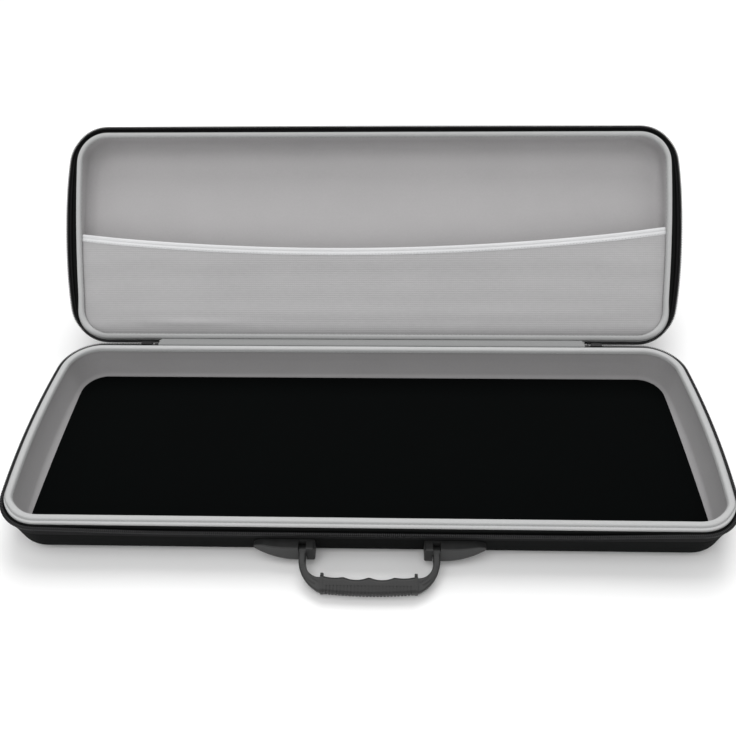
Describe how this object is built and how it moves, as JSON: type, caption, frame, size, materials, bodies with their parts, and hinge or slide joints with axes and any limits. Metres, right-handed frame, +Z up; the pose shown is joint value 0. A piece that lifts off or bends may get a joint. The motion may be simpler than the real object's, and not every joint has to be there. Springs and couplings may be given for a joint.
{
  "type": "zip-around carry case",
  "caption": "Long hard-shell carry case, hinged open, with a zip round the rim, a stretch pocket in the lid, a foam pad in the base and a folding moulded handle on the front.",
  "frame": {"origin": "on the floor under the middle of the base half", "axes": "+X to the right along the long side, +Y from the handle towards the hinge, +Z up"},
  "size_m": [0.641, 0.4435, 0.2023],
  "materials": {
    "shell_fabric": "black woven polyester bonded to formed foam, matte",
    "lining": "grey brushed knit",
    "binding": "grey woven tape, folded over the rim",
    "tape": "black woven zipper tape",
    "coil": "black nylon coil",
    "pad_foam": "black short-pile cloth over foam",
    "pocket_knit": "grey stretch knit",
    "elastic": "light grey woven elastic",
    "slider_metal": "black lacquered die-cast metal",
    "plated_metal": "bright zinc-plated steel",
    "handle_plastic": "black moulded nylon",
    "grip_plastic": "black soft-touch plastic",
    "bracket_plastic": "dark grey moulded plastic, fine grain"
  },
  "bodies": {
    "base": {"base_shell": "shell_fabric", "base_lining": "lining", "base_binding": "binding", "base_zipper_tape": "tape", "base_zipper_coil": "coil", "hinge_cloth_base": "shell_fabric", "foam_pad": "pad_foam", "zipper_end_stops": "plated_metal", "handle_bracket_left": "bracket_plastic", "handle_bracket_right": "bracket_plastic", "handle_pin_left": "plated_metal", "handle_pin_right": "plated_metal", "backing_plate_left": "plated_metal", "backing_plate_right": "plated_metal", "bracket_screws": "plated_metal"},
    "lid": {"lid_shell": "shell_fabric", "lid_lining": "lining", "lid_binding": "binding", "lid_zipper_tape": "tape", "lid_zipper_coil": "coil", "hinge_cloth_lid": "shell_fabric", "pocket_panel": "pocket_knit", "pocket_elastic": "elastic"},
    "handle": {"handle_arch": "handle_plastic", "handle_grip": "grip_plastic"},
    "slider_left": {"zipper_slider_left": "slider_metal"},
    "slider_right": {"zipper_slider_right": "slider_metal"},
    "pull_left": {"zipper_pull_left": "slider_metal"},
    "pull_right": {"zipper_pull_right": "slider_metal"}
  },
  "joints": [
    {"name": "lid_hinge", "type": "hinge", "parent": "base", "child": "lid", "pos_m": [0, 0.1154, 0.0407], "axis": [-1, 0, 0], "range_deg": [-133.2, 46.8]},
    {"name": "handle_hinge", "type": "hinge", "parent": "base", "child": "handle", "pos_m": [0.004, -0.1152, 0.0185], "axis": [-1, 0, 0], "range_deg": [-70, 93]},
    {"name": "slider_left_run", "type": "slide", "parent": "base", "child": "slider_left", "axis": [-1, 0, 0], "range_m": [0, 0.03]},
    {"name": "slider_right_run", "type": "slide", "parent": "base", "child": "slider_right", "axis": [1, 0, 0], "range_m": [0, 0.03]},
    {"name": "pull_left_swing", "type": "hinge", "parent": "slider_left", "child": "pull_left", "pos_m": [-0.233, 0.1163, 0.039], "axis": [-1, 0, 0], "range_deg": [-45, 0]},
    {"name": "pull_right_swing", "type": "hinge", "parent": "slider_right", "child": "pull_right", "pos_m": [0.233, 0.1163, 0.039], "axis": [-1, 0, 0], "range_deg": [-45, 0]}
  ]
}
